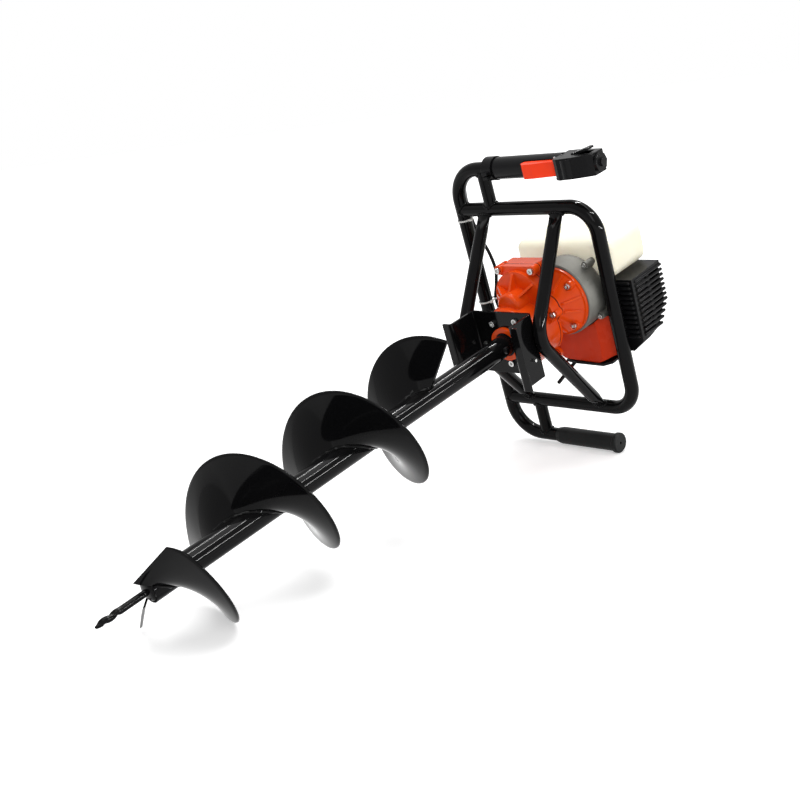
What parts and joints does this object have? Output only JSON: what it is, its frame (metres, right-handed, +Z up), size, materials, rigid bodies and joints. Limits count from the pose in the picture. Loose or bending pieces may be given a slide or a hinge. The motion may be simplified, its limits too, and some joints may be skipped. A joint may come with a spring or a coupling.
{
  "type": "earth auger",
  "caption": "Petrol earth auger lying on its side: spiral bit, reduction gearbox, two-stroke engine, fuel tank and a tubular handle frame with throttle and rubber grips.",
  "frame": {"origin": "on the floor under the middle of the whole machine, as it lies on the bit's flight and the rubber grip's end flange", "axes": "+Z up; +Y along the floor from the pilot drill's tip to the engine; +X along the hand grips towards their free ends"},
  "size_m": [0.3316, 1.0631, 0.5369],
  "materials": {
    "enamel_black": "gloss enamel",
    "casting_orange": "gloss paint on a casting",
    "casting_grey": "as cast",
    "cover_red": "moulded gloss",
    "plastic_black": "moulded satin",
    "rubber_black": "matt",
    "steel_plain": "machined",
    "bolt_zinc": "zinc plated",
    "tank_cream": "translucent moulding",
    "trigger_red": "moulded gloss",
    "tie_white": "nylon",
    "muffler_dark": "heat stained",
    "plug_white": "glazed insulator"
  },
  "bodies": {
    "machine": {"gearbox_lower": "casting_orange", "gearbox_divider": "casting_orange", "gearbox_upper": "casting_orange", "gearbox_bolts": "bolt_zinc", "gearbox_bearings": "steel_plain", "output_seal": "rubber_black", "clutch_housing": "casting_grey", "clutch_housing_bolts": "bolt_zinc", "clutch_shoes": "steel_plain", "flywheel": "casting_grey", "crankcase": "casting_grey", "crankshaft": "steel_plain", "connecting_rod": "steel_plain", "piston": "casting_grey", "cylinder": "casting_grey", "spark_plug": "plug_white", "cylinder_cover": "cover_red", "cover_base": "plastic_black", "muffler": "muffler_dark", "muffler_guard": "plastic_black", "breather_pipe": "rubber_black", "carburettor": "casting_grey", "air_filter": "plastic_black", "starter_housing": "plastic_black", "fuel_tank": "tank_cream", "bracket": "enamel_black", "bracket_bolts": "bolt_zinc", "handle_tube": "enamel_black", "loop_tube": "enamel_black", "handle_struts": "enamel_black", "brace_left": "enamel_black", "brace_right": "enamel_black", "rubber_grip": "rubber_black", "throttle_grip": "plastic_black", "throttle_clamp": "plastic_black", "trigger_pin": "steel_plain", "grip_end_cap": "plastic_black", "throttle_cable": "rubber_black", "cable_ties": "tie_white"},
    "bit": {"auger_tube": "enamel_black", "auger_flight": "enamel_black", "leading_cutter": "enamel_black", "trailing_cutter": "enamel_black", "pilot_drill": "enamel_black", "coupling_bolt": "bolt_zinc", "output_shaft": "steel_plain", "output_gear": "steel_plain"},
    "layshaft_body": {"layshaft": "steel_plain", "layshaft_gear": "steel_plain"},
    "drum_body": {"clutch_drum": "steel_plain"},
    "trigger_body": {"trigger": "trigger_red"},
    "throttle_lever_body": {"throttle_lever": "bolt_zinc"},
    "choke_body": {"choke_lever": "plastic_black"},
    "primer_body": {"primer_bulb": "trigger_red"},
    "cap_body": {"fuel_cap": "plastic_black"},
    "lockout_body": {"lockout_lever": "plastic_black"},
    "switch_body": {"stop_switch": "trigger_red"},
    "pulley_body": {"starter_pulley": "plastic_black"},
    "starter_handle_body": {"starter_handle": "plastic_black"}
  },
  "joints": [
    {"name": "auger_spin", "type": "hinge", "parent": "machine", "child": "bit", "pos_m": [0.00675, 0.27808, 0.23529], "axis": [0, 0.9778, 0.2095], "continuous": true},
    {"name": "layshaft_spin", "type": "hinge", "parent": "machine", "child": "layshaft_body", "pos_m": [0.00918, 0.30547, 0.29838], "axis": [0, 0.9778, 0.2095], "continuous": true},
    {"name": "drum_spin", "type": "hinge", "parent": "machine", "child": "drum_body", "pos_m": [0.04775, 0.35896, 0.28739], "axis": [0, 0.9778, 0.2095], "continuous": true},
    {"name": "trigger_pull", "type": "hinge", "parent": "machine", "child": "trigger_body", "pos_m": [0.08375, 0.3485, 0.5081], "axis": [0, 0.2095, -0.9778], "range_deg": [0, 12], "stiffness_Nm_per_rad": 0.8, "springref_deg": -14.32},
    {"name": "throttle_lever_turn", "type": "hinge", "parent": "machine", "child": "throttle_lever_body", "pos_m": [-0.01825, 0.46529, 0.22068], "axis": [0, 0.2095, -0.9778], "range_deg": [0, 60]},
    {"name": "choke_turn", "type": "hinge", "parent": "machine", "child": "choke_body", "pos_m": [-0.02425, 0.44654, 0.23661], "axis": [0, 0.9778, 0.2095], "range_deg": [0, 60]},
    {"name": "primer_press", "type": "slide", "parent": "machine", "child": "primer_body", "axis": [0, 0.2095, -0.9778], "range_m": [0, 0.004], "stiffness_N_per_m": 900, "springref_m": -0.002},
    {"name": "fuel_cap_turn", "type": "hinge", "parent": "machine", "child": "cap_body", "pos_m": [-0.02425, 0.50577, 0.36589], "axis": [0, 0.9778, 0.2095], "range_deg": [0, 170]},
    {"name": "lockout_press", "type": "hinge", "parent": "machine", "child": "lockout_body", "pos_m": [0.11475, 0.35765, 0.52744], "axis": [0, 0.9778, 0.2095], "range_deg": [0, 9], "stiffness_Nm_per_rad": 0.3, "springref_deg": -17.19},
    {"name": "switch_slide", "type": "slide", "parent": "machine", "child": "switch_body", "axis": [1, 0, 0], "range_m": [0, 0.007]},
    {"name": "starter_pull", "type": "slide", "parent": "machine", "child": "starter_handle_body", "axis": [-1, 0, 0], "range_m": [0, 0.06], "stiffness_N_per_m": 60, "springref_m": -0.15},
    {"name": "pulley_turn", "type": "hinge", "parent": "machine", "child": "pulley_body", "pos_m": [0.04775, 0.49096, 0.31567], "axis": [0, 0.9778, 0.2095], "range_deg": [0, 124]}
  ],
  "couplings": [
    {"joint": "layshaft_spin", "follows": "auger_spin", "ratio": -3.6667},
    {"joint": "drum_spin", "follows": "auger_spin", "ratio": 18.028},
    {"joint": "throttle_lever_turn", "follows": "trigger_pull", "ratio": 5},
    {"joint": "pulley_turn", "follows": "starter_pull", "rad_per_m": 35.714}
  ]
}
